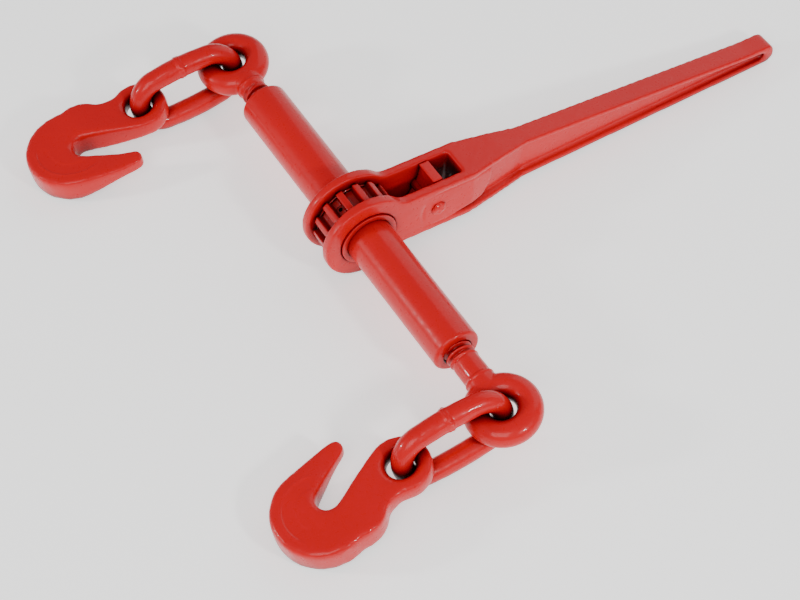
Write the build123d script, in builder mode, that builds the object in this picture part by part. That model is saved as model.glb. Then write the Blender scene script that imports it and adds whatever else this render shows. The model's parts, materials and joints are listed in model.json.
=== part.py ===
from build123d import *
import os
from math import asin, atan2, cos, degrees, hypot, radians, sin

# Ratchet chain load binder, lying on its side on a floor.
# A tube with a screw in each end, a ratchet gear round its middle, a forked handle
# that turns on the tube, and a link and a grab hook hanging from each screw's ring.
# X runs along the tube, Y towards the handle's tip, Z up.  All sizes are millimetres.

# ---------------------------------------------------------------- driving dimensions
barrel_length = 254.0
barrel_radius = 17.0
barrel_wall = 3.5
barrel_edge_radius = 2.4

thread_radius = 10.2          # over the crests
thread_pitch = 25.4 / 6       # six threads to the inch
insert_length = 24.0
running_gap = 0.06            # radial play of a turning or sliding fit
side_gap = 0.3                # play between faces that pass each other

ear_radius = 33.0
ear_thickness = 7.0
slot_half_width = 10.0
gear_tip_radius = 28.8
gear_root_radius = 24.0
gear_width = 16.4
gear_teeth = 14
gear_turn = 106.7             # direction of one tooth, in degrees from +Y towards +Z
tooth_tip_half_angle = 5.0
tooth_root_half_angle = 7.2
spring_pin_radius = 2.5
spring_pin_bore = 1.6

bush_sleeve_radius = 21.2
bush_proud = 1.0

handle_length = 356.0         # tube axis to the handle's tip
cheek_half_height = 20.0
tip_radius = 7.6
slot_clearance = 7.0          # pawl heel to the end of the slot
fork_wall = 6.0               # end of the slot to where the width starts to taper
width_taper = 49.0            # length over which the width tapers
cheek_straight = 28.0         # start of the width taper to the start of the height taper
bar_half_width = 8.0
rim_height = 4.5              # flange along the top and bottom of the side channel
channel_depth = 4.5
cheek_recess = 1.2
channel_start = 42.0
waist_radius = 12.0

rivet_distance = 56.0
rivet_radius = 5.0
rivet_head_radius = 5.6
rivet_head_height = 2.6
pawl_swing = 12.0             # between free and engaged
pawl_depth = 3.2              # how far the claw enters a tooth gap
pawl_heel_radius = 15.0
pawl_tab_reach = 20.0
notch_radius = 2.0
notch_depth = 0.7
plunger_radius = 3.5
plunger_nose_radius = 1.8
plunger_length = 16.0
spring_radius = 3.1
spring_wire = 0.8
spring_length = 20.0

ring_wire_radius = 8.75
ring_hole_radius = 8.75
right_ring_exposed = 53.0     # end of the tube to the ring's centre
left_ring_exposed = 44.0
right_neck_length = 44.0      # ring centre to the first thread
left_neck_length = 33.0
neck_radius = 9.6
extend_turns = 20.0
collar_radius = 12.5
collar_length = 7.0
stop_pin_radius = 2.0

link_wire_radius = 7.1
link_inner_half_width = 10.0
link_straight = 38.8
link_weld_radius = 7.9
link_weld_width = 3.6
link_play = 1.8               # slack of each link end in its ring or hook eye
link_roll = -14.0             # each link leans over about its own length
right_link_turn = -2.1
left_link_turn = -3.9

hook_eye_radius = 20.0
hook_hole_radius = 10.0
hook_eye_thickness = 14.4
hook_thickness = 20.5
hook_throat_radius = 8.3
hook_throat_across = 3.2
hook_throat_down = 50.5
hook_bowl_radius = 32.5
hook_bowl_across = 9.0
hook_bowl_down = 57.0
hook_shoulder_radius = 21.5
hook_shoulder_across = 16.0
hook_shoulder_down = 39.0
hook_shank_across = 8.0
hook_tip_radius = 5.0
hook_tip_reach = 34.4
hook_neck_fillet = 6.0
hook_eye_edge_radius = 4.7
right_hook_turn = -7.2
left_hook_turn = 19.6

# ---------------------------------------------------------------- values that follow
axis_height = ear_radius
half_barrel = barrel_length / 2
barrel_bore = barrel_radius - barrel_wall
gear_half_width = gear_width / 2
claw_reach = gear_tip_radius - pawl_depth
bush_flange_radius = claw_reach - 2 * side_gap
ear_outer = slot_half_width + ear_thickness
tooth_angle = 360.0 / gear_teeth
extend_travel = extend_turns * thread_pitch
right_ring_distance = half_barrel + right_ring_exposed
left_ring_distance = half_barrel + left_ring_exposed

slot_end = rivet_distance + pawl_heel_radius + slot_clearance
fork_end = slot_end + fork_wall
bar_start = fork_end + width_taper
cheek_end = fork_end + cheek_straight

link_mid_half_width = link_inner_half_width + link_wire_radius
ring_mid_radius = ring_hole_radius + ring_wire_radius
link_first_centre = ring_mid_radius + link_inner_half_width - ring_wire_radius - link_play / 2
link_far_wire = link_first_centre + link_straight + link_mid_half_width
hook_distance = link_far_wire - link_wire_radius - link_play + hook_hole_radius

hook_reach = hook_distance + hook_bowl_radius + hypot(hook_bowl_across, hook_bowl_down)
chain_sag = degrees(asin((axis_height - hook_thickness / 2) / hook_reach))
handle_droop = degrees(asin((axis_height - tip_radius) / (handle_length - tip_radius)))

# ---------------------------------------------------------------- planes
droop_cos = cos(radians(handle_droop))
droop_sin = sin(radians(handle_droop))
sag_cos = cos(radians(chain_sag))
sag_sin = sin(radians(chain_sag))
tube_centre = (0, 0, axis_height)
across_tube = Plane(origin=tube_centre, x_dir=(0, 1, 0), z_dir=(1, 0, 0))
# the handle seen from its side: x runs out along the handle, y up
handle_side = Plane(origin=tube_centre, x_dir=(0, droop_cos, -droop_sin), z_dir=(1, 0, 0))
# the handle seen from above: x across, y out along the handle
handle_top = Plane(origin=tube_centre, x_dir=(1, 0, 0), z_dir=(0, droop_sin, droop_cos))


def moved_plane(plane, x=0.0, y=0.0, z=0.0, turn=0.0, roll=0.0):
    """A plane carried along its own axes, turned about its normal and rolled about its y."""
    turned = Plane(plane.location * Location((x, y, z), (0, 0, turn)))
    return Plane(turned.location * Location((0, 0, 0), (0, roll, 0)))


def polar(radius, angle):
    """A point at a radius and an angle in degrees."""
    return (radius * cos(radians(angle)), radius * sin(radians(angle)))


def bar(start, end, radius):
    """A round bar along the tube's axis, in the part that is being built."""
    with BuildSketch(across_tube.offset(start)) as section:
        Circle(radius)
    extrude(section.sketch, amount=end - start)


pieces = {}


def keep(name, part):
    """Label a finished piece and list it for export."""
    part.label = name
    pieces[name] = part


# ---------------------------------------------------------------- barrel and gear
gap_turn = gear_turn + tooth_angle / 2
pin_plane = Plane(origin=tube_centre, x_dir=(1, 0, 0),
                  z_dir=(0, cos(radians(gap_turn)), sin(radians(gap_turn))))

with BuildPart() as barrel_tube:
    with BuildSketch(across_tube.offset(-half_barrel)):
        Circle(barrel_radius)
        Circle(barrel_bore, mode=Mode.SUBTRACT)
    extrude(amount=barrel_length)
    rims = barrel_tube.edges().filter_by(GeomType.CIRCLE)
    fillet([rim for rim in rims if abs(rim.radius - barrel_radius) < 0.01], barrel_edge_radius)
    with BuildSketch(pin_plane):
        Circle(spring_pin_radius)
    extrude(amount=barrel_radius + 1, mode=Mode.SUBTRACT)
keep("barrel_tube", barrel_tube.part)

for side, sign in (("right", 1), ("left", -1)):
    with BuildPart() as threaded_insert:
        bar(sign * (half_barrel - insert_length), sign * half_barrel, barrel_bore)
        with BuildSketch(across_tube.offset(sign * (half_barrel - insert_length))):
            Circle(thread_radius + running_gap)
        extrude(amount=sign * insert_length, mode=Mode.SUBTRACT)
        mouth = threaded_insert.edges().filter_by(GeomType.CIRCLE)
        chamfer([rim for rim in mouth if rim.radius < barrel_bore - 1], 0.6)
    keep(f"{side}_threaded_insert", threaded_insert.part)

with BuildPart() as ratchet_gear:
    with BuildSketch(across_tube):
        Circle(gear_root_radius)
        for tooth in range(gear_teeth):
            middle = gear_turn + tooth * tooth_angle
            with BuildLine():
                Polyline(
                    polar(gear_root_radius - 1, middle - tooth_root_half_angle),
                    polar(gear_tip_radius, middle - tooth_tip_half_angle),
                    polar(gear_tip_radius + 0.1, middle),
                    polar(gear_tip_radius, middle + tooth_tip_half_angle),
                    polar(gear_root_radius - 1, middle + tooth_root_half_angle),
                    close=True,
                )
            make_face()
        Circle(barrel_radius, mode=Mode.SUBTRACT)
    extrude(amount=gear_half_width, both=True)
    with BuildSketch(pin_plane):
        Circle(spring_pin_radius)
    extrude(amount=gear_tip_radius, mode=Mode.SUBTRACT)
keep("ratchet_gear", ratchet_gear.part)

with BuildPart() as gear_spring_pin:
    with BuildSketch(pin_plane.offset(barrel_bore + 0.1)):
        Circle(spring_pin_radius)
        Circle(spring_pin_bore, mode=Mode.SUBTRACT)
    extrude(amount=gear_root_radius - barrel_bore - 0.8)
keep("gear_spring_pin", gear_spring_pin.part)

# ---------------------------------------------------------------- ear bushes
flange_start = gear_half_width + side_gap
flange_end = slot_half_width - side_gap
for side, sign in (("right", 1), ("left", -1)):
    with BuildPart() as ear_bush:
        bar(sign * flange_start, sign * (ear_outer + bush_proud), bush_sleeve_radius)
        bar(sign * flange_start, sign * flange_end, bush_flange_radius)
        with BuildSketch(across_tube.offset(sign * flange_start)):
            Circle(barrel_radius + running_gap)
        extrude(amount=sign * (ear_outer + bush_proud), mode=Mode.SUBTRACT)
    keep(f"{side}_ear_bush", ear_bush.part)

# ---------------------------------------------------------------- handle
tip_centre = handle_length - tip_radius


def width_outline(inset, recess):
    """Half the handle seen from above and its mirror image, drawn inset from its sides."""
    fork = ear_outer - recess
    half_bar = bar_half_width - inset
    with BuildLine() as outline:
        Polyline(
            (fork, -ear_radius), (fork, fork_end), (half_bar, bar_start),
            (half_bar, handle_length), (-half_bar, handle_length), (-half_bar, bar_start),
            (-fork, fork_end), (-fork, -ear_radius), close=True,
        )
    make_face(outline.edges())


with BuildPart() as handle_web:
    with BuildSketch(handle_side):
        with BuildLine():
            # the web fills the channel between its rims
            channel_top = cheek_half_height - rim_height / 2
            Polyline(
                (channel_start, -channel_top), (cheek_end, -channel_top), (tip_centre, -rim_height),
                (tip_centre, rim_height), (cheek_end, channel_top), (channel_start, channel_top),
                close=True,
            )
        make_face()
    extrude(amount=ear_outer, both=True)
    with BuildSketch(handle_top):
        width_outline(channel_depth, cheek_recess)
    extrude(amount=ear_radius, both=True, mode=Mode.INTERSECT)

with BuildPart() as handle:
    with BuildSketch(handle_side):
        Circle(ear_radius)
        with Locations((cheek_end / 2, 0)):
            Rectangle(cheek_end, 2 * cheek_half_height)
        offset(amount=waist_radius)
        offset(amount=-waist_radius)
        with BuildSketch(mode=Mode.ADD):
            # the grip tapers from the cheeks to the tip
            with Locations((cheek_end, 0)):
                Circle(cheek_half_height)
            with Locations((tip_centre, 0)):
                Circle(tip_radius)
            make_hull()
        with BuildSketch(mode=Mode.SUBTRACT):
            # the channel down each side, between the rims
            channel_radius = cheek_half_height - rim_height
            with Locations((channel_start + channel_radius, 0), (cheek_end, 0)):
                Circle(channel_radius)
            with Locations((tip_centre - rim_height, 0)):
                Circle(tip_radius - rim_height)
            make_hull()
    extrude(amount=ear_outer, both=True)
    with BuildSketch(handle_top):
        width_outline(0, 0)
    extrude(amount=ear_radius, both=True, mode=Mode.INTERSECT)
    add(handle_web.part)
    with BuildSketch(handle_top):
        with Locations((0, (slot_end - ear_radius) / 2)):
            Rectangle(2 * slot_half_width, slot_end + ear_radius)
    extrude(amount=2 * ear_radius, both=True, mode=Mode.SUBTRACT)
    with BuildSketch(handle_side):
        Circle(bush_sleeve_radius + running_gap)
        with Locations((rivet_distance, 0)):
            Circle(rivet_radius)
    extrude(amount=2 * ear_outer, both=True, mode=Mode.SUBTRACT)
    with BuildSketch(Plane(handle_side.location * Location((slot_end, 0, 0), (0, 90, 0)))):
        Circle(plunger_radius + running_gap)
    extrude(amount=plunger_length + spring_length, mode=Mode.SUBTRACT)
keep("handle", handle.part)

# ---------------------------------------------------------------- pawl and its rivet
rivet_plane = moved_plane(handle_side, x=rivet_distance)
cheek_face = ear_outer - cheek_recess

with BuildPart() as pawl_rivet:
    with BuildSketch(rivet_plane):
        Circle(rivet_radius)
    extrude(amount=cheek_face, both=True)
    for sign in (1, -1):
        with BuildSketch(rivet_plane.offset(sign * cheek_face)):
            Circle(rivet_head_radius)
        extrude(amount=sign * rivet_head_height, taper=25)
keep("pawl_rivet", pawl_rivet.part)

# the claw is drawn engaged in a tooth gap, on a plane that is turned back to the free position
pawl_plane = moved_plane(handle_side, x=rivet_distance, turn=pawl_swing)
gap_numbers = range(gear_teeth)
gap_angles = [(gap_turn + handle_droop + n * tooth_angle + 180) % 360 - 180 for n in gap_numbers]
claw_angle = min(gap_angles, key=lambda angle: abs(angle + 28))


def claw_point(radius, offset_up):
    """A point of the claw, at a distance from the tube's axis and a distance off its middle."""
    x, y = polar(radius, claw_angle)
    shift_x, shift_y = polar(offset_up, claw_angle + 90)
    return (x + shift_x - rivet_distance, y + shift_y)


claw_low_root = claw_point(gear_tip_radius + 4.8, -3.2)
claw_high_root = claw_point(gear_tip_radius + 4.8, 2.9)
tab_front_low = (2.8, pawl_tab_reach - 3.5)
tab_front = (2.7, pawl_tab_reach)
tab_back = (10.4, pawl_tab_reach - 1.7)
heel_start = 52.0
heel_end = -55.0
with BuildPart() as pawl:
    with BuildSketch(pawl_plane):
        with BuildLine():
            Polyline(claw_low_root, claw_point(claw_reach, -1.5), claw_point(claw_reach, 1.5),
                     claw_high_root)
            ThreePointArc(claw_high_root, (-7.4, -2.2), tab_front_low)
            Polyline(tab_front_low, tab_front, tab_back, polar(pawl_heel_radius, heel_start))
            CenterArc((0, 0), pawl_heel_radius, heel_start, heel_end - heel_start)
            ThreePointArc(polar(pawl_heel_radius, heel_end), (-10.0, -17.0), claw_low_root)
        make_face()
        Circle(rivet_radius + running_gap, mode=Mode.SUBTRACT)
        notch_middle = pawl_heel_radius + notch_radius - notch_depth
        notches = [polar(notch_middle, turn) for turn in (-2 * pawl_swing, -pawl_swing, 0)]
        with Locations(*notches):
            Circle(notch_radius, mode=Mode.SUBTRACT)
    extrude(amount=slot_half_width - side_gap, both=True)
keep("pawl", pawl.part)

# ---------------------------------------------------------------- detent plunger and spring
nose_tip = rivet_distance + pawl_heel_radius + 0.25
nose_back = nose_tip + plunger_nose_radius
plunger_back = nose_tip + plunger_length
with BuildPart() as detent_plunger:
    with BuildSketch(handle_side):
        with BuildLine():
            CenterArc((nose_back, 0), plunger_nose_radius, 180, -90)
            Polyline((nose_back, plunger_nose_radius), (nose_back + 1.5, plunger_radius),
                     (plunger_back, plunger_radius), (plunger_back, 0), (nose_tip, 0))
        make_face()
    revolve(axis=Axis(handle_side.origin, handle_side.x_dir))
keep("detent_plunger", detent_plunger.part)

with BuildPart() as detent_spring:
    spring_start = plunger_back + 1.6
    with BuildSketch(Plane(handle_side.location * Location((spring_start, 0, 0), (0, 90, 0)))):
        Circle(spring_radius)
        Circle(spring_radius - spring_wire, mode=Mode.SUBTRACT)
    extrude(amount=slot_end + plunger_length + spring_length - spring_start)
keep("detent_spring", detent_spring.part)

# ---------------------------------------------------------------- screws, stops, links, hooks
collar_outer_face = half_barrel - insert_length - extend_travel - side_gap
collar_inner_face = collar_outer_face - collar_length
screw_end = collar_inner_face - 1.0
stop_pin_x = (collar_outer_face + collar_inner_face) / 2


def eye_screw(side, sign, ring_distance, neck_length, ring_plane):
    """A forged ring with a round shank, threaded from its neck to its inner end."""
    ring_section = Plane(origin=ring_plane.origin, x_dir=ring_plane.x_dir, z_dir=-ring_plane.y_dir)
    with BuildPart() as screw:
        with BuildSketch(ring_section):
            with Locations((-sign * ring_mid_radius, 0)):
                Circle(ring_wire_radius)
        revolve(axis=Axis(ring_plane.origin, ring_plane.z_dir))
        shank_start = ring_distance - ring_mid_radius
        thread_start = ring_distance - neck_length
        neck_start = shank_start - ring_wire_radius
        stations = (
            (shank_start, ring_wire_radius), (neck_start, neck_radius), (thread_start, neck_radius),
            (thread_start - 1, thread_radius), (screw_end + 1, thread_radius),
            (screw_end, thread_radius - 1),
        )
        for outer, inner in zip(stations, stations[1:]):
            # a loft's sections run the way that their planes face
            for distance, radius in (inner, outer)[::sign]:
                with BuildSketch(across_tube.offset(sign * distance)):
                    Circle(radius)
            loft()
        with BuildSketch(Plane.XY.offset(axis_height)):
            with Locations((sign * stop_pin_x, 0)):
                Circle(stop_pin_radius)
        extrude(amount=barrel_radius, both=True, mode=Mode.SUBTRACT)
    keep(f"{side}_eye_screw", screw.part)


def screw_stop(side, sign):
    """The collar on a screw's inner end and the pin that fixes it."""
    with BuildPart() as stop_collar:
        bar(sign * collar_inner_face, sign * collar_outer_face, collar_radius)
        with BuildSketch(across_tube.offset(sign * collar_inner_face)):
            Circle(thread_radius)
        extrude(amount=sign * collar_length, mode=Mode.SUBTRACT)
        with BuildSketch(Plane.XY.offset(axis_height)):
            with Locations((sign * stop_pin_x, 0)):
                Circle(stop_pin_radius)
        extrude(amount=barrel_radius, both=True, mode=Mode.SUBTRACT)
    keep(f"{side}_stop_collar", stop_collar.part)
    with BuildPart() as stop_pin:
        with BuildSketch(Plane.XY.offset(axis_height)):
            with Locations((sign * stop_pin_x, 0)):
                Circle(stop_pin_radius)
        extrude(amount=collar_radius - 0.4, both=True)
    keep(f"{side}_stop_pin", stop_pin.part)


def chain_link(side, chain_plane):
    """An oval link of round wire, standing across the ring's plane, with a weld bead on top."""
    leaning = moved_plane(chain_plane, roll=link_roll)
    upright = moved_plane(leaning, roll=90)
    near, far = -link_first_centre, -link_first_centre - link_straight
    half = link_mid_half_width
    with BuildPart() as link:
        with BuildLine(upright) as path:
            Line((-half, (near + far) / 2), (-half, near))
            ThreePointArc((-half, near), (0, near + half), (half, near))
            Line((half, near), (half, far))
            ThreePointArc((half, far), (0, far - half), (-half, far))
            Line((-half, far), (-half, (near + far) / 2))
        with BuildSketch(Plane(origin=path.wire() @ 0, z_dir=path.wire() % 0)):
            Circle(link_wire_radius)
        sweep(path=path.wire())
        top_of_link = moved_plane(leaning, y=(near + far + link_weld_width) / 2, z=half)
        with BuildSketch(Plane(top_of_link.location * Location((0, 0, 0), (90, 0, 0)))):
            Circle(link_weld_radius)
        extrude(amount=link_weld_width)
    keep(f"{side}_link", link.part)


eye_middle = (hook_eye_radius + hook_hole_radius) / 2
eye_to_throat = hypot(hook_throat_across, hook_throat_down)
throat_bearing = degrees(atan2(hook_throat_across, hook_throat_down))
slot_turn = throat_bearing + degrees(asin((hook_throat_radius + hook_eye_radius) / eye_to_throat))
throat = (hook_throat_across, -hook_throat_down)
slot_along = (-sin(radians(slot_turn)), cos(radians(slot_turn)))
slot_across = (-cos(radians(slot_turn)), -sin(radians(slot_turn)))
tip_side = hook_throat_radius + hook_tip_radius
hook_tip = (
    throat[0] + tip_side * slot_across[0] + hook_tip_reach * slot_along[0],
    throat[1] + tip_side * slot_across[1] + hook_tip_reach * slot_along[1],
)
slot_length = 2 * hook_throat_down
slot_middle = (
    throat[0] + slot_along[0] * slot_length / 2,
    throat[1] + slot_along[1] * slot_length / 2,
)


def grab_hook(side, hook_plane):
    """A flat forged hook: an eye, a shank, a bowl round the throat, and a blunt tip."""
    with BuildPart() as hook:
        with BuildSketch(hook_plane):
            Circle(hook_eye_radius)
            with Locations((hook_bowl_across, -hook_bowl_down)):
                Circle(hook_bowl_radius)
            with Locations((hook_shoulder_across, -hook_shoulder_down)):
                Circle(hook_shoulder_radius)
            with BuildSketch(mode=Mode.ADD):
                # the bowl runs out to the blunt tip
                with Locations((hook_bowl_across, -hook_bowl_down)):
                    Circle(hook_bowl_radius)
                with Locations(hook_tip):
                    Circle(hook_tip_radius)
                make_hull()
            with BuildSketch(mode=Mode.ADD):
                # the shank
                with Locations((hook_shank_across, -hook_shoulder_down)):
                    Circle(hook_shoulder_radius)
                Circle(eye_middle)
                make_hull()
            offset(amount=hook_neck_fillet)
            offset(amount=-hook_neck_fillet)
            with Locations(throat):
                Circle(hook_throat_radius, mode=Mode.SUBTRACT)
            with Locations(slot_middle):
                Rectangle(2 * hook_throat_radius, slot_length, rotation=slot_turn, mode=Mode.SUBTRACT)
            Circle(eye_middle, mode=Mode.SUBTRACT)
        extrude(amount=hook_thickness / 2, both=True)
        # the flat narrows from the bowl to the eye
        with BuildSketch(Plane(origin=hook_plane.origin, x_dir=hook_plane.y_dir, z_dir=hook_plane.x_dir)):
            half_bowl, half_eye = hook_thickness / 2, hook_eye_thickness / 2
            with BuildLine():
                Polyline(
                    (-3 * hook_throat_down, -half_bowl), (-hook_throat_down / 2, -half_bowl),
                    (-hook_hole_radius, -half_eye), (2 * hook_eye_radius, -half_eye),
                    (2 * hook_eye_radius, half_eye), (-hook_hole_radius, half_eye),
                    (-hook_throat_down / 2, half_bowl), (-3 * hook_throat_down, half_bowl), close=True,
                )
            make_face()
        extrude(amount=2 * hook_bowl_radius, both=True, mode=Mode.INTERSECT)
        # the eye's hole has well rounded edges, where the link bears
        eye_section = Plane(origin=hook_plane.origin, x_dir=hook_plane.x_dir, z_dir=-hook_plane.y_dir)
        with BuildSketch(eye_section):
            with Locations((eye_middle, 0)):
                RectangleRounded(hook_eye_radius - hook_hole_radius, hook_eye_thickness,
                                 hook_eye_edge_radius)
        revolve(axis=Axis(hook_plane.origin, hook_plane.z_dir))
    keep(f"{side}_hook", hook.part)


for side, sign, ring_distance, neck_length, link_turn, hook_turn, hook_roll in (
    ("right", 1, right_ring_distance, right_neck_length, right_link_turn, right_hook_turn, 0),
    ("left", -1, left_ring_distance, left_neck_length, left_link_turn, left_hook_turn, 180),
):
    ring_plane = Plane(origin=(sign * ring_distance, 0, axis_height), x_dir=(1, 0, 0),
                       z_dir=(0, -sag_sin, sag_cos))
    chain_plane = moved_plane(ring_plane, turn=link_turn)
    hook_plane = moved_plane(chain_plane, y=-hook_distance, turn=hook_turn, roll=hook_roll)
    eye_screw(side, sign, ring_distance, neck_length, ring_plane)
    screw_stop(side, sign)
    chain_link(side, chain_plane)
    grab_hook(side, hook_plane)

# ---------------------------------------------------------------- export
# the origin is the middle of the footprint, on the floor
boxes = [part.bounding_box() for part in pieces.values()]
low = [min(getattr(box.min, axis) for box in boxes) for axis in "XYZ"]
high = [max(getattr(box.max, axis) for box in boxes) for axis in "XYZ"]
to_origin = Location((-(low[0] + high[0]) / 2, -(low[1] + high[1]) / 2, -low[2]))
os.makedirs("parts", exist_ok=True)
for name, part in pieces.items():
    placed = part.moved(to_origin)
    placed.label = name
    export_step(placed, f"parts/{name}.step")
print("origin moved by", to_origin.position)
print("overall size", [round(top - bottom, 2) for bottom, top in zip(low, high)])
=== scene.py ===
# %% [markdown]
# # A ratchet load binder in red enamel
# A load binder pulls a chain tight.  A lever turns a tube, and the tube draws in a forged
# eye screw at each end.  The design already exists as CAD: every piece has its place, its
# size and its joint.  This file only dresses it.  Forgings get soft edges and a rolled,
# slightly uneven skin, the screws get real helical threads, and everything gets its enamel.

# %% Load the fixed frame
import json
from math import asin, atan2, cos, hypot, pi, radians, sin, tau

import bpy
from mathutils import Matrix, Vector


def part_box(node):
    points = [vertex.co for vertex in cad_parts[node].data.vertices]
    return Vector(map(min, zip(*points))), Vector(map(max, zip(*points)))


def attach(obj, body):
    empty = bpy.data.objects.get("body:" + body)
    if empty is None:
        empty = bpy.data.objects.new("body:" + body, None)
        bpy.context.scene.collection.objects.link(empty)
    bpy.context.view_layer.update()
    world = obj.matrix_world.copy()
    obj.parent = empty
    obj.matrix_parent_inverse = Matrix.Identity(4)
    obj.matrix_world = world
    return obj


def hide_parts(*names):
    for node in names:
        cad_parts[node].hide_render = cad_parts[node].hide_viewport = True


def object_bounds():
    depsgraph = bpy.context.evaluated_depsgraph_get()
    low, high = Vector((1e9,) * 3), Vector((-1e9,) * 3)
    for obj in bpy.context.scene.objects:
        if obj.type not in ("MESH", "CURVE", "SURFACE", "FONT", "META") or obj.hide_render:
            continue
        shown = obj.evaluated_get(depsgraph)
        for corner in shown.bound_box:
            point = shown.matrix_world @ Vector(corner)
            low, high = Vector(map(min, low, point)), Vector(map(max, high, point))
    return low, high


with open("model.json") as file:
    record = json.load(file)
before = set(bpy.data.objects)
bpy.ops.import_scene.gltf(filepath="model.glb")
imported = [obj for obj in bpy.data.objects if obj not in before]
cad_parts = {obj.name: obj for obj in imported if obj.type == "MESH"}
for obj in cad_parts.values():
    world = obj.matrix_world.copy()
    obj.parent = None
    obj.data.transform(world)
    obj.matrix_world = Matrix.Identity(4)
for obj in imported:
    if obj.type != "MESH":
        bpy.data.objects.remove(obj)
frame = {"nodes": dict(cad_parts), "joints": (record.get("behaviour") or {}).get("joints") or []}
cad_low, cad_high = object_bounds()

print("CAD box", [round(v, 4) for v in (*cad_low, *cad_high)])

# %% [markdown]
# ## Where things are
# The joints say where the tube's axis, the rings and the hook eyes are, so no place is
# typed in twice.  Sizes in this file are millimetres times MM, because Blender works in
# metres here.

# %% Places taken from the joints
MM = 0.001
joints = {joint["name"]: joint for joint in frame["joints"]}
tube_centre = Vector(joints["barrel_turn"]["pos_m"])
pawl_centre = Vector(joints["pawl_swing"]["pos_m"])
ring_centre = {side: Vector(joints[f"{side}_link_swing"]["pos_m"]) for side in ("right", "left")}
eye_centre = {side: Vector(joints[f"{side}_hook_swing"]["pos_m"]) for side in ("right", "left")}
chain_up = Vector(joints["right_link_swing"]["axis"]).normalized()
chain_sag = asin(-chain_up.y)
# from each hook's eye towards its ring: the two chains are not quite square to the tube
chain_out = {side: (ring_centre[side] - eye_centre[side]).normalized() for side in ring_centre}
handle_out = (pawl_centre - tube_centre).normalized()       # from the tube to the handle's tip
handle_up = Vector((1, 0, 0)).cross(handle_out)
print("tube centre", tube_centre[:], "chain sag", round(chain_sag, 4))

# %% Small helpers for the bench


def clear_bench():
    """Leave edit mode and let go of everything, so that an operator touches one piece only."""
    if bpy.context.object and bpy.context.object.mode != "OBJECT":
        bpy.ops.object.mode_set(mode="OBJECT")
    bpy.ops.object.select_all(action="DESELECT")


def hold(piece):
    """Make one piece the selected, active object."""
    clear_bench()
    piece.select_set(True)
    bpy.context.view_layer.objects.active = piece
    return piece


def fix_place(piece):
    """Put a piece's place, turn and scale into its mesh."""
    hold(piece)
    bpy.ops.object.transform_apply(location=True, rotation=True, scale=True)
    return piece


def finish_modifier(piece, kind, **settings):
    """Add one modifier, set it and apply it."""
    hold(piece)
    modifier = piece.modifiers.new(kind.lower(), kind)
    for name, value in settings.items():
        setattr(modifier, name, value)
    bpy.ops.object.modifier_apply(modifier=modifier.name)
    return piece


def point_outwards(piece, merge=1e-6):
    """Merge doubled points and turn every face outwards."""
    hold(piece)
    bpy.ops.object.mode_set(mode="EDIT")
    bpy.ops.mesh.select_all(action="SELECT")
    bpy.ops.mesh.remove_doubles(threshold=merge)
    bpy.ops.mesh.normals_make_consistent(inside=False)
    bpy.ops.object.mode_set(mode="OBJECT")
    return piece


def weld_together(name, *parts):
    """Join several closed shapes into one object; the first gives its place in the scene."""
    clear_bench()
    for part in parts:
        part.select_set(True)
    bpy.context.view_layer.objects.active = parts[0]
    bpy.ops.object.join()
    parts[0].name = parts[0].data.name = name
    return parts[0]


def blank_from_cad(name, node):
    """A copy of a CAD node's mesh as one closed skin, ready to be forged."""
    piece = bpy.data.objects.new(name, frame["nodes"][node].data.copy())
    bpy.context.scene.collection.objects.link(piece)
    piece.data.name = name
    return point_outwards(piece)


def keep_in_box(piece):
    """Flatten whatever sticks out of the CAD's box, as a die's parting face would."""
    for vertex in piece.data.vertices:
        vertex.co = Vector(min(max(at, low), high)
                           for at, low, high in zip(vertex.co, cad_low, cad_high))
    return piece


def count(piece):
    """Say how heavy a finished mesh is."""
    print(piece.name, len(piece.data.polygons), "faces")
    return piece


# %% [markdown]
# ## Red enamel over a forging
# Drop-forged steel has a skin: scale presses shallow dents a centimetre or so apart into it,
# and finer pits a few millimetres apart.  One thick dipped coat of gloss enamel runs over
# both, so the dents stay as slow waves and the pits nearly fill.  The wet film shrinks as it
# dries and leaves the fine ripple called orange peel.  In corners and recesses the red is
# darkened towards a deep red, as painted shade.

# %% Colours and the node helper


def linear(hex_colour):
    """The linear colour that Blender's sockets take, from an sRGB hex value."""
    parts = [int(hex_colour[start:start + 2], 16) / 255 for start in (1, 3, 5)]
    return (*(c / 12.92 if c <= 0.04045 else ((c + 0.055) / 1.055) ** 2.4 for c in parts), 1.0)


def add_node(material, kind, inputs=(), **settings):
    """Add a node; inputs maps its sockets to plain values or to other nodes' outputs."""
    made = material.node_tree.nodes.new("ShaderNode" + kind)
    for name, value in settings.items():
        setattr(made, name, value)
    for socket, value in dict(inputs).items():
        if isinstance(value, bpy.types.NodeSocket):
            material.node_tree.links.new(value, made.inputs[socket])
        else:
            made.inputs[socket].default_value = value
    return made


def waves_per_metre(size_mm):
    """A noise texture's scale for bumps of one size."""
    return 1 / (size_mm * MM)


# %% The enamel
DENT_MM, PIT_MM, PEEL_MM, BATCH_MM = 13.0, 3.2, 1.3, 60.0
PEEL_HEIGHT_MM = 0.02
# painted shade: walls nearer than this darken the enamel's colour
SHADE_REACH_MM = 18.0       # how near another wall darkens a corner


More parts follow.
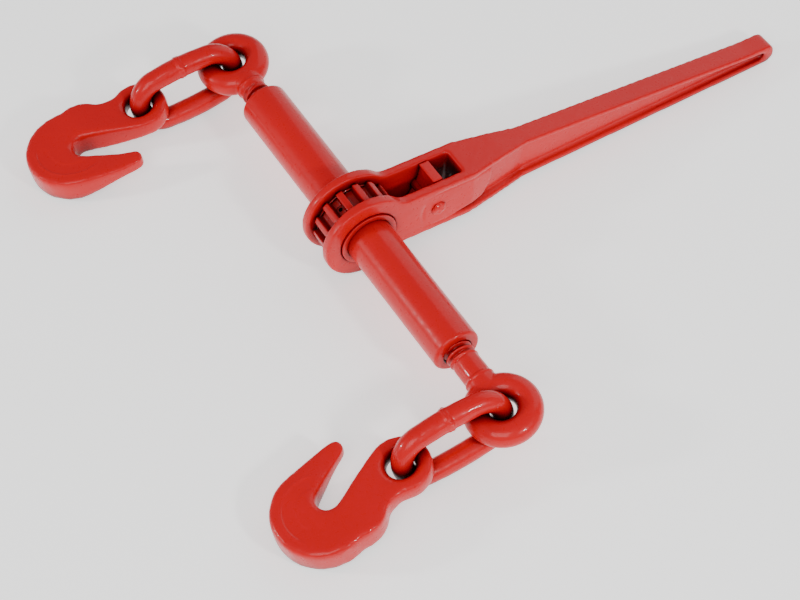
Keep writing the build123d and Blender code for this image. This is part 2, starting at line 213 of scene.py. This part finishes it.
def enamel(name, dent_height, pit_height, painted_shade_red="#2E0102", main="#C2040F", bright="#D20612"):
    """Gloss red enamel; the heights say how rough the steel under it is, in millimetres."""
    material = bpy.data.materials.new(name)
    material.use_nodes = True
    material.node_tree.nodes.clear()
    place = add_node(material, "TexCoord").outputs["Object"]
    batch = add_node(material, "TexNoise", {
        "Vector": place, "Scale": waves_per_metre(BATCH_MM), "Detail": 2.0})
    dents = add_node(material, "TexNoise", {
        "Vector": place, "Scale": waves_per_metre(DENT_MM), "Detail": 2.0, "Roughness": 0.45})
    pits = add_node(material, "TexNoise", {
        "Vector": place, "Scale": waves_per_metre(PIT_MM), "Detail": 1.0, "Roughness": 0.5})
    peel = add_node(material, "TexNoise", {
        "Vector": place, "Scale": waves_per_metre(PEEL_MM), "Detail": 1.0})
    body_colour = add_node(material, "Mix", {
        0: batch.outputs["Fac"], 6: linear(main), 7: linear(bright)}, data_type="RGBA")
    # painted shade: the colour is darkened towards the deep red where another wall is near, in
    # corners and recesses
    corner = add_node(material, "AmbientOcclusion", {"Distance": SHADE_REACH_MM * MM},
                      samples=8)
    painted_shade = add_node(material, "MapRange", {
        "Value": corner.outputs["AO"], "From Min": 0.30, "From Max": 0.80,
        "To Min": 1.0, "To Max": 0.0})
    colour = add_node(material, "Mix", {
        0: painted_shade.outputs["Result"], 6: body_colour.outputs[2], 7: linear(painted_shade_red)},
        data_type="RGBA")
    gloss = add_node(material, "MapRange", {
        "Value": pits.outputs["Fac"], "From Min": 0.3, "From Max": 0.7,
        "To Min": 0.26, "To Max": 0.40})
    swell = add_node(material, "Bump", {
        "Height": dents.outputs["Fac"], "Strength": 1.0, "Distance": dent_height * MM})
    pitted = add_node(material, "Bump", {
        "Height": pits.outputs["Fac"], "Strength": 1.0, "Distance": pit_height * MM,
        "Normal": swell.outputs["Normal"]})
    rippled = add_node(material, "Bump", {
        "Height": peel.outputs["Fac"], "Strength": 1.0, "Distance": PEEL_HEIGHT_MM * MM,
        "Normal": pitted.outputs["Normal"]})
    shader = add_node(material, "BsdfPrincipled", {
        "Base Color": colour.outputs[2], "Roughness": gloss.outputs["Result"],
        "IOR": 1.52, "Specular IOR Level": 0.18, "Normal": rippled.outputs["Normal"],
        "Coat Weight": 0.22, "Coat Roughness": 0.03})
    out = add_node(material, "OutputMaterial")
    material.node_tree.links.new(shader.outputs["BSDF"], out.inputs["Surface"])
    print("material", name, len(material.node_tree.nodes), "nodes")
    return material


forged_enamel = enamel("red_enamel_on_forged_steel", dent_height=0.55, pit_height=0.07)
drawn_enamel = enamel("red_enamel_on_drawn_tube", dent_height=0.12, pit_height=0.03)
# the gear's red is set darker than the lever's and the tube's, as painted shade for the gear that
# sits deep between the lever's ears
gear_enamel = enamel("red_enamel_on_sawn_gear", dent_height=0.15, pit_height=0.06,
                     painted_shade_red="#240102", main="#B0040E", bright="#C00510")

# %% [markdown]
# ## Bare steel inside
# The stop collars, their pins, the plunger and its spring are never painted.  They were
# turned on a lathe, which leaves fine rings round the axis, and then oiled, so they are a
# dark grey that mirrors softly.  The rings are drawn at 0.6 mm, coarser than the real feed of
# the tool, so that they can be seen at all.

# %% The oiled steel
TOOL_FEED_MM, FEED_HEIGHT_MM, STAIN_MM = 0.6, 0.03, 4.0


def oiled_steel(name, colour, roughness):
    """Turned steel with fine rings along X and a film of oil."""
    material = bpy.data.materials.new(name)
    material.use_nodes = True
    material.node_tree.nodes.clear()
    place = add_node(material, "TexCoord").outputs["Object"]
    rings = add_node(material, "TexWave", {
        "Vector": place, "Scale": waves_per_metre(TOOL_FEED_MM) / tau * pi / 10,
        "Distortion": 0.6, "Detail": 2.0}, wave_type="BANDS", bands_direction="X")
    stain = add_node(material, "TexNoise", {
        "Vector": place, "Scale": waves_per_metre(STAIN_MM), "Detail": 4.0})
    tint = add_node(material, "Mix", {
        0: stain.outputs["Fac"], 6: linear(colour), 7: linear("#4A4744")}, data_type="RGBA")
    shine = add_node(material, "MapRange", {
        "Value": stain.outputs["Fac"], "To Min": roughness - 0.1, "To Max": roughness + 0.15})
    ringed = add_node(material, "Bump", {
        "Height": rings.outputs["Fac"], "Strength": 0.6, "Distance": FEED_HEIGHT_MM * MM})
    shader = add_node(material, "BsdfPrincipled", {
        "Base Color": tint.outputs[2], "Roughness": shine.outputs["Result"],
        "Metallic": 1.0, "Normal": ringed.outputs["Normal"]})
    out = add_node(material, "OutputMaterial")
    material.node_tree.links.new(shader.outputs["BSDF"], out.inputs["Surface"])
    return material


turned_steel = oiled_steel("oiled_turned_steel", "#77756F", 0.36)
spring_steel = oiled_steel("oiled_spring_steel", "#56544F", 0.30)
print("materials", [m.name for m in bpy.data.materials])

# %% Dress a finished piece


CREASE = radians(38)       # edges sharper than this stay crisp


def dress(piece, body, slot, material, *nodes):
    """Give a finished piece its enamel or steel, its body and the CAD nodes it stands for."""
    hold(piece)
    bpy.ops.object.shade_smooth_by_angle(angle=CREASE)
    piece.data.materials.clear()
    piece.data.materials.append(material)
    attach(piece, body)
    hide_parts(*nodes)
    return count(piece)


# %% [markdown]
# ## Forging: remesh, then let the edges run
# A hammer die can't leave a sharp edge, and paint rounds what is left.  A Bevel modifier
# would need every edge picked by hand.  Instead the blank becomes an even grid of small
# squares (a voxel Remesh), and Smooth lets all edges run out by the same amount.  A
# Displace with soft clouds adds the die's waviness.

# %% The forge


def forge(piece, grid_mm, passes, wave_mm=0.0, wave_size_mm=16.0):
    """Turn a blank into a soft-edged forging."""
    finish_modifier(piece, "REMESH", mode="VOXEL", voxel_size=grid_mm * MM)
    finish_modifier(piece, "SMOOTH", factor=0.5, iterations=passes)
    if wave_mm:
        clouds = bpy.data.textures.new(f"{piece.name}_waves", "CLOUDS")
        clouds.noise_scale = wave_size_mm * MM
        finish_modifier(piece, "DISPLACE", texture=clouds, texture_coords="LOCAL",
                        strength=wave_mm * MM, mid_level=0.55)
    return piece


def turned(name, profile, turns=1, pitch=0.0, steps=96):
    """Sweep a profile of (along X, radius) points round the tube's axis.

    With a pitch, the profile climbs by that much in each turn, as a left-handed thread does.
    """
    mesh = bpy.data.meshes.new(name)
    points = [(along * MM, 0, radius * MM) for along, radius in profile]
    mesh.from_pydata(points, [(i, i + 1) for i in range(len(points) - 1)], [])
    piece = bpy.data.objects.new(name, mesh)
    bpy.context.scene.collection.objects.link(piece)
    finish_modifier(piece, "SCREW", axis="X", angle=-tau if pitch else tau,
                    screw_offset=pitch * MM, iterations=turns, steps=steps,
                    render_steps=steps, use_merge_vertices=not pitch, merge_threshold=1e-6)
    return point_outwards(piece)


# %% [markdown]
# ## The eye screws
# An eye screw is forged from one bar: a ring at one end, a smooth neck, then a thread
# rolled along the rest.  A thread is one small profile that climbs as it goes round, which
# is just what the Screw modifier does.  Its two ends are cut square with bisect and filled.
# Ring, neck and thread then melt into one skin in the forge, which also gives the soft,
# paint-clogged look of the ridges near the ring.  The two ends have opposite hands, so
# that one turn of the tube draws both screws in.

# %% Cut a piece square across X


def cut_square(piece, along, keep_above):
    """Cut a closed tube across X and cap the cut."""
    hold(piece)
    bpy.ops.object.mode_set(mode="EDIT")
    bpy.ops.mesh.select_all(action="SELECT")
    bpy.ops.mesh.bisect(plane_co=(along * MM, 0, 0), plane_no=(1, 0, 0), use_fill=True,
                        clear_inner=keep_above, clear_outer=not keep_above, threshold=1e-7)
    bpy.ops.object.mode_set(mode="OBJECT")
    return piece


# %% Model one eye screw
PITCH_MM = 25.4 / 6
ROOT_MM, CREST_MM, NECK_MM = 7.9, 10.2, 9.6
RIDGE_MM = [(0, ROOT_MM), (0.5, ROOT_MM), (1.75, CREST_MM), (2.75, CREST_MM),
            (4.0, ROOT_MM), (PITCH_MM, ROOT_MM)]     # one ridge of the thread
RING_MID_MM, RING_WIRE_MM = 17.5, 8.75
NECK_LENGTH_MM = {"right": 44.0, "left": 33.0}       # ring centre to the first ridge
THREAD_LEAD_IN_MM, LEAD_IN_RADIUS_MM = 1.5, 8.4
BEAD_FROM_MM, BEAD_TO_MM, BEAD_MM = 28.0, 25.4, 0.7  # die flash round the neck
SPREAD_FROM_MM, SPREAD_LENGTH_MM, SPREAD = 31.0, 14.0, 0.42


def eye_screw(side, sign):
    """Ring, neck and thread of one screw, in one skin."""
    ring_at = sign * (ring_centre[side].x - tube_centre.x) / MM
    low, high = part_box(f"{side}_eye_screw")
    inner_end = (low if sign > 0 else high).x
    start = sign * (inner_end - tube_centre.x) / MM
    neck_at = ring_at - NECK_LENGTH_MM[side]
    turns = int((neck_at - start) / PITCH_MM) + 3
    profile = [(start - PITCH_MM + along, radius) for along, radius in RIDGE_MM]
    thread = turned(f"{side}_thread", profile, turns=turns, pitch=PITCH_MM, steps=36)
    cut_square(thread, start, keep_above=True)
    cut_square(thread, neck_at + 1.0, keep_above=False)
    neck = turned(f"{side}_neck", [
        (neck_at - THREAD_LEAD_IN_MM, 0), (neck_at - THREAD_LEAD_IN_MM, LEAD_IN_RADIUS_MM),
        (neck_at + THREAD_LEAD_IN_MM, NECK_MM), (ring_at - BEAD_FROM_MM, NECK_MM),
        (ring_at - BEAD_FROM_MM + 0.8, NECK_MM + BEAD_MM),
        (ring_at - BEAD_TO_MM - 0.8, NECK_MM + BEAD_MM), (ring_at - BEAD_TO_MM, NECK_MM),
        (ring_at - 18.0, 9.2), (ring_at - 14.0, 7.0), (ring_at - 14.0, 0)])
    # the neck spreads out flat where it runs into the ring
    for vertex in neck.data.vertices:
        past = vertex.co.x / MM - (ring_at - SPREAD_FROM_MM)
        vertex.co.y *= 1 + SPREAD * min(max(past / SPREAD_LENGTH_MM, 0), 1) ** 2
    bpy.ops.mesh.primitive_torus_add(
        location=(ring_at * MM, 0, 0), major_segments=96, minor_segments=48,
        major_radius=RING_MID_MM * MM, minor_radius=RING_WIRE_MM * MM)
    ring = bpy.context.object
    screw = weld_together(f"{side}_forged_eye_screw", thread, neck, ring)
    forge(screw, grid_mm=0.56, passes=2)
    if sign < 0:
        # turned half round about Z, which keeps the hand of the thread
        screw.rotation_euler = (0, 0, pi)
        fix_place(screw)
    return screw


# %% Both screws
for side, sign in (("right", 1), ("left", -1)):
    screw = eye_screw(side, sign)
    if sign < 0:
        # this end has the other hand: mirror the thread across the XZ plane
        screw.scale = (1, -1, 1)
        fix_place(screw)
        point_outwards(screw)
    screw.rotation_euler = (chain_sag, 0, 0)
    screw.location = tube_centre
    fix_place(screw)
    dress(screw, f"{side}_screw", "red_paint", forged_enamel, f"{side}_eye_screw")

# %% [markdown]
# ## The chain links
# A link is a round bar bent into an oval and butt welded in the middle of one side.  It
# starts as a torus.  Half of its points are moved along by the length of the straight
# sides, which stretches one step of the ring into two straight bars.  The weld is a lumpy
# collar with a little flash at its side, and it melts into the bar in the forge.  Last,
# the sides are bowed outwards a little.

# %% Model one link
LINK_MID_MM, LINK_WIRE_MM, LINK_STRAIGHT_MM = 17.1, 7.1, 38.8
LINK_FIRST_MM = 17.85      # ring centre to the centre of the link's first bend
LINK_ROLL = radians(-14.0)
LINK_BOW, LINK_PAINT_MM = 0.06, 0.35
WELD_BEADS_MM = ((-0.9, 0.95), (1.1, 0.8))                   # along the bar, bead radius
WELD_FLASH = ((0.35, 1.5), (-0.5, 1.2), (2.6, 1.4))          # radians round the bar, radius in mm


def chain_link(side):
    """A welded oval link, standing on edge across its ring."""
    bpy.ops.mesh.primitive_torus_add(
        rotation=(0, pi / 2, 0), major_segments=96, minor_segments=40,
        major_radius=LINK_MID_MM * MM, minor_radius=LINK_WIRE_MM * MM)
    link = fix_place(bpy.context.object)
    bpy.ops.object.mode_set(mode="EDIT")
    bpy.ops.mesh.select_all(action="DESELECT")
    bpy.ops.object.mode_set(mode="OBJECT")
    for vertex in link.data.vertices:
        vertex.select = vertex.co.y < 1e-6
    bpy.ops.object.mode_set(mode="EDIT")
    bpy.ops.transform.translate(value=(0, -LINK_STRAIGHT_MM * MM, 0))
    bpy.ops.object.mode_set(mode="OBJECT")
    weld_place = Vector((0, -LINK_STRAIGHT_MM / 2, LINK_MID_MM)) * MM
    beads = []
    for shift, radius in WELD_BEADS_MM:
        bpy.ops.mesh.primitive_torus_add(
            location=weld_place + Vector((0, shift * MM, 0)), rotation=(pi / 2, 0, 0),
            major_segments=40, minor_segments=12,
            major_radius=(LINK_WIRE_MM - 0.2) * MM, minor_radius=radius * MM)
        beads.append(bpy.context.object)
    for turn, size in WELD_FLASH:
        bpy.ops.mesh.primitive_ico_sphere_add(
            subdivisions=3, radius=size * MM,
            location=weld_place + Vector((cos(turn), 0.15, sin(turn))) * LINK_WIRE_MM * MM)
        beads.append(bpy.context.object)
    link = weld_together(f"{side}_forged_link", link, *beads)
    forge(link, grid_mm=0.62, passes=5, wave_mm=0.5, wave_size_mm=14.0)
    finish_modifier(link, "DISPLACE", strength=LINK_PAINT_MM * MM, mid_level=0.0)
    for vertex in link.data.vertices:
        from_middle = 2 * vertex.co.y / (LINK_STRAIGHT_MM * MM) + 1
        vertex.co.z *= 1 + LINK_BOW * max(0, 1 - from_middle ** 2)
    across = chain_out[side].cross(chain_up)
    lean = Matrix.Rotation(LINK_ROLL, 3, "Y")
    link.rotation_mode = "QUATERNION"
    link.rotation_quaternion = (
        Matrix((across, chain_out[side], chain_up)).transposed() @ lean).to_quaternion()
    link.location = ring_centre[side] - chain_out[side] * LINK_FIRST_MM * MM
    return fix_place(link)


for side in ("right", "left"):
    dress(keep_in_box(chain_link(side)), f"{side}_link", "red_paint", forged_enamel, f"{side}_link")

# %% [markdown]
# ## The grab hooks
# A grab hook is a flat forging.  Its slot is one link wide, so that it holds a chain by a
# link seen edge on.  The blank has the true outline, with square edges.  The forge rounds
# them, a long slope is pressed from the thick bowl to the thinner eye, and the edges run out
# again until they are as round as cast ones.  Then single points are moved, as clay would
# be: the arm becomes a tapering horn, and a low rib follows the outside of the bowl.

# %% The hook's own axes
HOOK_TURN = {"right": radians(-7.2), "left": radians(19.6)}    # from its own chain
THROAT = Vector((3.2, -50.5))
BOWL = Vector((9.0, -57.0))
SLOT_HALF_MM, EYE_RADIUS_MM = 8.3, 20.0
SLOT_LEAN = atan2(THROAT.x, -THROAT.y) + asin((SLOT_HALF_MM + EYE_RADIUS_MM) / hypot(*THROAT))
SLOT_ALONG = Vector((-sin(SLOT_LEAN), cos(SLOT_LEAN)))


def hook_axes(side):
    """A matrix from the hook's own millimetres (eye centre, X across, Y up the shank)."""
    along = Matrix.Rotation(HOOK_TURN[side], 3, chain_up) @ chain_out[side]
    normal = chain_up.copy()
    across = along.cross(normal)
    if side == "left":
        across, normal = -across, -normal
    axes = Matrix((across, along, normal)).transposed() * MM
    return Matrix.Translation(eye_centre[side]) @ axes.to_4x4()


def soft_step(value, low, high):
    """0 below low, 1 above high, and a smooth rise between them."""
    t = min(max((value - low) / (high - low), 0), 1)
    return t * t * (3 - 2 * t)


# %% Press the slope and shape the arm and the rib
EYE_HALF_MM, BOWL_HALF_MM = 6.9, 10.2
SLOPE_FROM_MM, SLOPE_TO_MM = 4.0, 46.0
HORN_THINNED, HORN_FROM_MM, HORN_TO_MM = 0.50, -12.0, 32.0
MOUTH_OPENED_MM = 2.2
RIB_REACH_MM, RIB_HALF_MM, RIB_HEIGHT_MM = 25.0, 1.6, 0.35
RIB_START, RIB_END = 2.9, 5.2                  # directions from the bowl's centre, in radians


def press_slope(point):
    """The long slope between the bowl's thickness and the eye's."""
    rise = soft_step(-point.y, SLOPE_FROM_MM, SLOPE_TO_MM)
    thickest = EYE_HALF_MM + (BOWL_HALF_MM - EYE_HALF_MM) * rise
    return Vector((point.x, point.y, min(max(point.z, -thickest), thickest)))


def shape_arm_and_rib(point):
    """Thin the arm to a horn, open the slot's mouth and raise the rib."""
    x, y, z = point
    flat = Vector((x, y)) - THROAT
    up_the_arm = flat.dot(SLOT_ALONG)
    if flat.dot(Vector((SLOT_ALONG.y, -SLOT_ALONG.x))) < 0:
        z *= 1 - HORN_THINNED * soft_step(up_the_arm, HORN_FROM_MM, HORN_TO_MM)
        opened = MOUTH_OPENED_MM * soft_step(up_the_arm, -6.0, 30.0)
        x -= opened * SLOT_ALONG.y
        y += opened * SLOT_ALONG.x
    reach = hypot(x - BOWL.x, y - BOWL.y)
    bearing = atan2(y - BOWL.y, x - BOWL.x) % tau
    round_the_bowl = (soft_step(bearing, RIB_START, RIB_START + 0.3)
                      * (1 - soft_step(bearing, RIB_END, RIB_END + 0.4)))
    rib = soft_step(1 - abs(reach - RIB_REACH_MM) / RIB_HALF_MM, 0, 1)
    panel = (soft_step(reach, RIB_REACH_MM - 10.0, RIB_REACH_MM - 8.5)
             * (1 - soft_step(reach, RIB_REACH_MM - 1.0, RIB_REACH_MM)))
    if abs(z) > EYE_HALF_MM + 0.1:
        lift = round_the_bowl * RIB_HEIGHT_MM * (rib - panel)
        z += lift if z > 0 else -lift
    return Vector((x, y, z))


# %% Model one hook


def grab_hook(side):
    """The forged hook, with its tapered tip and the rib round its bowl."""
    hook = blank_from_cad(f"{side}_forged_hook", f"{side}_hook")
    forge(hook, grid_mm=1.15, passes=20)
    own = hook_axes(side)
    inward = own.inverted()
    for vertex in hook.data.vertices:
        vertex.co = own @ press_slope(inward @ vertex.co)
    finish_modifier(hook, "SMOOTH", factor=0.5, iterations=35)
    # smoothing shrinks the hook a little, and this gives it back
    finish_modifier(hook, "DISPLACE", strength=0.5 * MM, mid_level=0.0)
    finish_modifier(hook, "SUBSURF", levels=1, render_levels=1)
    for vertex in hook.data.vertices:
        vertex.co = own @ shape_arm_and_rib(inward @ vertex.co)
    return hook


for side in ("right", "left"):
    dress(keep_in_box(grab_hook(side)), f"{side}_hook", "red_paint", forged_enamel, f"{side}_hook")

# %% [markdown]
# ## The lever, the gear and the pawl
# The lever is one big forging: two ears round the tube, a fork for the pawl, and a grip with
# an I-shaped section.  The gear's teeth are broad and blunt, and the paint has filled their
# roots.  All three start from their blanks and differ in how fine the grid is and how far
# the edges run.  The lever's side channels are pressed deeper afterwards, point by point.

# %% Press the side channels into the lever
CHEEK_HALF_MM, BAR_HALF_MM, TAPER_FROM_MM, TAPER_TO_MM = 17.0, 8.0, 84.0, 133.0
CHANNEL_FROM_MM, CHANNEL_HALF_MM, CHANNEL_DEPTH_MM = 42.0, 15.5, 4.5
PANEL_END_MM, PANEL_BOTTOM_MM = 99.0, -14.5    # along the lever, and up from its middle
PANEL_DEPTH_MM, CHEEK_DEPTH_MM = 0.3, 1.2      # how far they lie below the rims
CHANNEL_WALL_MM = 3.0


def press_channel(along, side, up):
    """The new sideways place of one point of the lever, all in millimetres.

    The cheek panel stays nearly flush and ends in a curve.  Beyond the curve, and along
    the bottom of the panel, the channel drops to its full depth.
    """
    taper = min(max((along - TAPER_FROM_MM) / (TAPER_TO_MM - TAPER_FROM_MM), 0), 1)
    rim = CHEEK_HALF_MM + (BAR_HALF_MM - CHEEK_HALF_MM) * taper
    past_end = along - (PANEL_END_MM + 0.3 * up - 5.0 * ((up - 2.0) / 14.0) ** 2)
    below_panel = (PANEL_BOTTOM_MM + 6.0 * soft_step(along, 55.0, 100.0)) - up
    outside = soft_step(max(past_end, below_panel), 0.0, CHANNEL_WALL_MM)
    deepens = soft_step(along, 50.0, 100.0)
    full_depth = CHEEK_DEPTH_MM + (CHANNEL_DEPTH_MM - CHEEK_DEPTH_MM) * deepens
    floor_at = rim - (PANEL_DEPTH_MM + (full_depth - PANEL_DEPTH_MM) * outside)
    inside_rims = (soft_step(CHANNEL_HALF_MM - abs(up), 0.0, 1.8)
                   * soft_step(along, CHANNEL_FROM_MM, CHANNEL_FROM_MM + 4.0))
    in_reach = soft_step(abs(side), rim - 6.5, rim - 5.0) * (1 - soft_step(along, 131.0, 137.0))
    pressed = abs(side) + (floor_at - abs(side)) * inside_rims * in_reach
    return pressed if side > 0 else -pressed


# %% The lever
SPRING_HOLE_MM = 3.6       # nothing nearer to the lever's middle than this is pressed

handle = blank_from_cad("forged_handle", "handle")
forge(handle, grid_mm=0.95, passes=11)
for vertex in handle.data.vertices:
    arm = (vertex.co - tube_centre) / MM
    along, side, up = arm.dot(handle_out), arm.x, arm.dot(handle_up)
    if along > CHANNEL_FROM_MM and abs(side) > SPRING_HOLE_MM:
        vertex.co.x = tube_centre.x + press_channel(along, side, up) * MM
    # the lever's tip is cut nearly square
    vertex.co += handle_out * 1.1 * MM * soft_step(along, 300.0, 354.0)
    vertex.co += handle_up * max(up, 0) * 0.2 * MM * soft_step(along, 330.0, 353.0)
finish_modifier(handle, "SMOOTH", factor=0.5, iterations=2)
dress(keep_in_box(handle), "handle", "red_paint", forged_enamel, "handle")

# %% The gear and the pawl
gear = blank_from_cad("toothed_gear", "ratchet_gear")
forge(gear, grid_mm=0.55, passes=6)
dress(gear, "barrel", "red_paint", gear_enamel, "ratchet_gear")

thumb_pawl = blank_from_cad("forged_pawl", "pawl")
forge(thumb_pawl, grid_mm=0.55, passes=16)
dress(thumb_pawl, "pawl", "red_paint", forged_enamel, "pawl")

# %% [markdown]
# ## Turned pieces
# The bushes that the lever turns on are plain rings with broken edges, and the rivet is a
# pin whose ends were hammered over.  Each is a profile swept once round its axis.  The
# profile of a ring is a closed loop, and a small Bevel breaks its corners.  Small clouds
# leave the hammer's marks on the rivet.

# %% The bushes
BORE_MM, SLEEVE_MM, FLANGE_THICKNESS_MM = 17.06, 21.2, 1.2


def ring_bush(side, sign):
    """A flanged bush round the tube, between the gear and one ear."""
    low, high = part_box(f"{side}_ear_bush")
    inner, outer = sorted((abs(low.x - tube_centre.x) / MM, abs(high.x - tube_centre.x) / MM))
    flange = (high.z - low.z) / 2 / MM
    shoulder = inner + FLANGE_THICKNESS_MM
    profile = [(inner, BORE_MM), (inner, flange), (shoulder, flange), (shoulder, SLEEVE_MM),
               (outer, SLEEVE_MM), (outer, BORE_MM), (inner, BORE_MM)]
    bush = turned(f"{side}_turned_bush", [(sign * along, r) for along, r in profile])
    finish_modifier(bush, "BEVEL", width=0.5 * MM, segments=3, limit_method="ANGLE",
                    angle_limit=radians(40))
    bush.location = tube_centre
    return fix_place(bush)


for side, sign in (("right", 1), ("left", -1)):
    dress(ring_bush(side, sign), "bearing", "red_paint", drawn_enamel, f"{side}_ear_bush")

# %% The rivet
rivet_low, rivet_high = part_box("pawl_rivet")
half_rivet = (rivet_high.x - rivet_low.x) / 2 / MM
head_end = [(half_rivet + 0.9, 0), (half_rivet + 0.8, 2.6), (half_rivet + 0.2, 4.4),
            (half_rivet - 1.0, 5.5), (half_rivet - 2.2, 5.7), (half_rivet - 2.6, 5.0)]
rivet = turned("hammered_rivet", head_end + [(-along, r) for along, r in reversed(head_end)],
               steps=48)
finish_modifier(rivet, "BEVEL", width=0.5 * MM, segments=3, limit_method="ANGLE",
                angle_limit=radians(25))
hammer_marks = bpy.data.textures.new("hammer_marks", "CLOUDS")
hammer_marks.noise_scale = 3.0 * MM
finish_modifier(rivet, "SUBSURF", levels=1, render_levels=1)
finish_modifier(rivet, "DISPLACE", texture=hammer_marks, texture_coords="LOCAL",
                strength=1.4 * MM, mid_level=0.5)
rivet.location = pawl_centre
dress(fix_place(rivet), "handle", "red_paint", forged_enamel, "pawl_rivet")

# %% [markdown]
# ## CAD pieces that stay
# The tube, its inserts and the small steel pieces inside already have their true shape, so
# they stay as they are and only get a better finish.

# %% Finishes for the CAD pieces
kept_finishes = {
    "barrel_tube": drawn_enamel,
    "right_threaded_insert": drawn_enamel,
    "left_threaded_insert": drawn_enamel,
    "gear_spring_pin": gear_enamel,
    "right_stop_collar": turned_steel,
    "left_stop_collar": turned_steel,
    "right_stop_pin": spring_steel,
    "left_stop_pin": spring_steel,
    "detent_plunger": turned_steel,
    "detent_spring": spring_steel,
}
for name, finish in kept_finishes.items():
    node = frame["nodes"][name]
    node.data.materials.clear()
    node.data.materials.append(finish)
print("CAD pieces kept", len(kept_finishes))

# %% [markdown]
# ## Floor, light and camera
# The floor is a wide pale sheet that glows a little, so that it stays pale under soft light.
# Two big softboxes and the sky light every side.  Two small bright lamps, low on the right
# and low on the left, leave the crisp white glints that tell a gloss enamel from a dull one.

# %% The floor
floor_finish = bpy.data.materials.new("pale_floor")
floor_finish.use_nodes = True
floor_shader = floor_finish.node_tree.nodes["Principled BSDF"]
floor_shader.inputs["Base Color"].default_value = linear("#F4F4F3")
floor_shader.inputs["Roughness"].default_value = 0.6
floor_shader.inputs["Emission Color"].default_value = linear("#FFFFFF")
floor_shader.inputs["Emission Strength"].default_value = 0.8
bpy.ops.mesh.primitive_plane_add(size=12.0, location=(0, 0, cad_low.z))
floor = bpy.context.object
floor.name = "floor"
floor.data.materials.append(floor_finish)

# %% The lights


def soft_light(name, direction, distance, size, power):
    """A square lamp, in metres and watts, that looks at the tube from one direction."""
    place = tube_centre + Vector(direction).normalized() * distance
    bpy.ops.object.light_add(type="AREA", location=place)
    lamp = bpy.context.object
    lamp.name = name
    lamp.data.size = size
    lamp.data.energy = power
    lamp.rotation_mode = "QUATERNION"
    lamp.rotation_quaternion = (tube_centre - place).to_track_quat("-Z", "Y")
    return lamp


soft_light("back_softbox", (-0.4, 1.2, 0.75), 1.6, 1.6, 9.0)
soft_light("front_softbox", (0.9, -0.9, 1.3), 1.8, 1.0, 14.0)
soft_light("right_lamp", (0.81, 0.2, 0.53), 1.7, 0.16, 11.0)
soft_light("left_lamp", (-0.36, -0.85, 0.37), 1.7, 0.16, 10.0)
sky = bpy.context.scene.world or bpy.data.worlds.new("sky")
bpy.context.scene.world = sky
sky.use_nodes = True
sky.node_tree.nodes["Background"].inputs["Color"].default_value = linear("#FFFFFF")
sky.node_tree.nodes["Background"].inputs["Strength"].default_value = 0.35

# %% The camera
SENSOR_MM, LENS_MM = 36.0, 91.93
FROM_TUBE_MM = Vector((752.65, -432.66, 1079.13))
bpy.ops.object.camera_add()
camera = bpy.context.object
camera.name = "camera"
camera.data.sensor_width = SENSOR_MM
camera.data.lens = LENS_MM
view_back = Vector((0.50638, -0.31473, 0.80282))
view_right = Vector((0.52788, 0.84932, 0.0))
view_up = view_back.cross(view_right)
camera.matrix_world = Matrix.Translation(
    tube_centre + FROM_TUBE_MM * MM
) @ Matrix((view_right, view_up, view_back)).transposed().to_4x4()
camera.data.clip_start, camera.data.clip_end = 0.05, 30.0
bpy.context.scene.camera = camera
print("camera at", camera.location[:])
